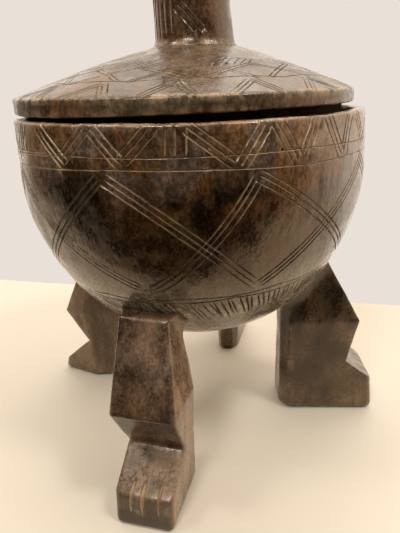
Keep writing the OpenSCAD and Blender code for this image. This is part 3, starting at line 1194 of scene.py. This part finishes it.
# the post handle on the lid
postSet = {
    "x": 3.0 * mm,
    "baseZ": lidHigh.z,
    "lean": tan(radians(3.5)),
    "stepsRound": 96,
    # radius and height in mm: the foot's rows follow the dome, the others stand on its top
    "footRows": [(0.0, -1.0), (29.4, -1.0), (28.2, 0.4), (27.1, 1.6), (26.4, 4.0)],
    "footDrop": 8,
    "footTop": 0.5,
    "rows": [(26.1, 4), (26.0, 8), (25.8, 12), (25.6, 16), (25.4, 20), (25.2, 24), (25.0, 28), (25.1, 31),
             (25.5, 34), (26.3, 37), (27.3, 40), (28.3, 42.5), (28.9, 45), (29.0, 48), (28.4, 52),
             (26.9, 55.6), (24.4, 58.9), (21.2, 60.9), (17.0, 61.9), (11.0, 62.2), (5.0, 62.3), (0.0, 62.3)],
    "carvingR": 25.6 * mm,
    # slanting bands: angle and height of both ends, and the turn of each band
    "band": [(-93.5, 302.0), (-64.0, 287.0)],
    "bandTurns": (0, 110, 215),
    "bandCut": {"lines": 3, "gap": 3.6 * mm, "width": 1.2 * mm, "depth": 0.8 * mm},
    "flutes": [-150, -139, -128, -117, -106],
    "fluteEnds": [(1, 318), (-1, 284)],
    "fluteCut": {"width": 3.4 * mm, "depth": 0.8 * mm},
    # worn ring at the foot, in mm
    "wearRing": (-6.5, 2.5),
    "swell": (26 * mm, 4.6, 0.5 * mm),
    "ripple": (8 * mm, 9.2, 0.18 * mm),
}


def onPost(angle, z):
    return onCircle(angle, postSet["carvingR"], z * mm)


def carvePost(bm):
    s = postSet
    grid = faceGrid(bm.faces)
    for turn in s["bandTurns"]:
        carveBand(bm, grid, *[onPost(angle + turn, z) for angle, z in s["band"]], outwardOf, s["bandCut"])
    for angle in s["flutes"]:
        ends = [onPost(angle + turn, z) for turn, z in s["fluteEnds"]]
        carveStroke(bm, grid, *ends, outwardOf, s["fluteCut"])


def postByHand(bm):
    s = postSet
    wear = bm.verts.layers.float["wear"]
    ringZ, ringReach = s["wearRing"]
    for v, normal in zip(bm.verts, pointNormals(bm)):
        height = (v.co.z - s["baseZ"]) / mm
        v.co.x += s["x"] - (v.co.z - s["baseZ"]) * s["lean"]
        if height < s["footTop"]:
            top = leaningDomeZ(v.co.x - lidSet["centre"].x, v.co.y)
            v.co.z = top + (height + s["footDrop"]) * mm
            v[wear] = nearness(height - ringZ, ringReach)
        else:
            v.co += normal * lump(v.co, *s["swell"])
            v.co += normal * lump(v.co, *s["ripple"])


postWood = patinaWood("postPatina", {
    "offset": (0.6, 0.2, 0.4),
    "blotchScale": 24.0,
    "warmScale": 22.0,
    "dark": (0.035, 0.017, 0.007),
    "mid": (0.085, 0.042, 0.019),
    "warm": (0.14, 0.055, 0.022),
    "warmZone": (0.0, 1 * mm, 0.6, 0.6),
    "olive": (0.09, 0.06, 0.03),
    "oliveShare": 0.3,
    "filmAndSheen": (0.11, 0.07, 0.042),
    "filmAndSheenShare": 0.25,
    "filmGloss": -0.08,
    "scuff": (0.15, 0.085, 0.04),
    "scuffShare": 0.3,
    "streak": (1.2, 0.78),
    "grit": (0.7, 1.35),
    "wornEdge": (0.44, 0.31, 0.19),
    "wearShare": 0.9,
    "lineDark": (0.03, 0.02, 0.013),
    "linePale": (0.62, 0.45, 0.28),
    "lineCore": (0.35, 0.65),
    "lineBreak": 0.4,
    "tanShare": (0.6, 1.0),
    "roughness": (0.26, 0.44),
    "bump": 0.8,
    "shine": 0.8,
    "coat": 0.1,
})


def makePost():
    s = postSet
    bm = bmesh.new()
    rows = [(r * mm, s["baseZ"] + (h - s["footDrop"]) * mm) for r, h in s["footRows"]]
    rows += [(r * mm, s["baseZ"] + h * mm) for r, h in s["rows"]]
    spinProfile(bm, rows, s["stepsRound"])
    addLayers(bm, "groove", "wear")
    carvePost(bm)
    postByHand(bm)
    finishPiece(bm, "lidPost", "cover", "lid_handle", postWood)


makePost()


# floor, light and background
stageSet = {
    # the floor ends close in front and behind
    "floorX": (-0.8, 0.8),
    "floorY": (-0.175, 0.214),
    "floorTurn": radians(2),
    "floorColour": (0.76, 0.67, 0.53),
    "floorRoughness": 0.6,
    "wallColour": (0.82, 0.745, 0.68),
    # the room is darker and warmer on the viewer's side
    "viewerSide": (-0.16, -0.975, -0.45),
    "skyColours": ((1.0, 0.91, 0.81), (1.0, 0.7, 0.45)),
    "skyStrength": (1.4, 0.02),
    "skyTurn": (-0.6, 0.25),
    # place, aim, size and power of each lamp
    "lamps": [
        ("lampRight", (0.8, -0.3, 1.5), (0, 0, 0.15), 0.3, 7),
        ("lampLeft", (-0.8, -0.45, 1.5), (0, 0, 0.15), 0.3, 4),
        ("lampBack", (0.0, 0.8, 1.5), (0, 0, 0.15), 1.2, 5),
        ("lampFront", (-0.16, -1.1, 1.25), (0, 0, 0.1), 0.4, 9),
    ],
}


def makeFloor(s):
    bm = bmesh.new()
    bmesh.ops.create_grid(bm, x_segments=1, y_segments=1, size=0.5)
    spread = Vector((s["floorX"][1] - s["floorX"][0], s["floorY"][1] - s["floorY"][0], 1))
    bmesh.ops.scale(bm, vec=spread, verts=bm.verts)
    middle = Vector((sum(s["floorX"]) / 2, sum(s["floorY"]) / 2, 0))
    bmesh.ops.translate(bm, vec=middle, verts=bm.verts)
    bmesh.ops.rotate(bm, cent=(0, 0, 0), matrix=Matrix.Rotation(s["floorTurn"], 3, "Z"), verts=bm.verts)
    paint = bpy.data.materials.new("floorPaint")
    paint.use_nodes = True
    shader = paint.node_tree.nodes["Principled BSDF"]
    shader.inputs["Base Color"].default_value = (*s["floorColour"], 1)
    shader.inputs["Roughness"].default_value = s["floorRoughness"]
    mesh = bpy.data.meshes.new("floor")
    bm.to_mesh(mesh)
    bm.free()
    mesh.materials.append(paint)
    floor = bpy.data.objects.new("floor", mesh)
    scene.collection.objects.link(floor)


def makeLamps(s):
    for name, place, aim, size, power in s["lamps"]:
        data = bpy.data.lights.new(name, "AREA")
        data.shape = "DISK"
        data.size = size
        data.energy = power
        lamp = bpy.data.objects.new(name, data)
        lamp.location = place
        lamp.rotation_euler = (Vector(aim) - Vector(place)).to_track_quat("-Z", "Y").to_euler()
        scene.collection.objects.link(lamp)


def makeRoom(s):
    world = bpy.data.worlds.new("studio")
    world.use_nodes = True
    scene.world = world
    tree = world.node_tree
    sky = tree.nodes["Background"]
    facing = addNode(tree, "ShaderNodeVectorMath", operation="DOT_PRODUCT")
    facing.inputs[1].default_value = s["viewerSide"]
    tree.links.new(addNode(tree, "ShaderNodeTexCoord").outputs["Generated"], facing.inputs[0])
    strength = rangeNode(tree, facing.outputs["Value"], *s["skyTurn"], *s["skyStrength"])
    tree.links.new(strength, sky.inputs["Strength"])
    warm = rangeNode(tree, facing.outputs["Value"], *s["skyTurn"])
    tree.links.new(mixColour(tree, warm, *s["skyColours"]), sky.inputs["Color"])
    # the camera sees a plain wall
    wall = addNode(tree, "ShaderNodeBackground")
    wall.inputs["Color"].default_value = (*s["wallColour"], 1)
    path = addNode(tree, "ShaderNodeLightPath")
    mix = addNode(tree, "ShaderNodeMixShader")
    tree.links.new(path.outputs["Is Camera Ray"], mix.inputs["Fac"])
    tree.links.new(sky.outputs["Background"], mix.inputs[1])
    tree.links.new(wall.outputs["Background"], mix.inputs[2])
    tree.links.new(mix.outputs["Shader"], tree.nodes["World Output"].inputs["Surface"])


makeFloor(stageSet)
makeLamps(stageSet)
makeRoom(stageSet)
print("stage set")
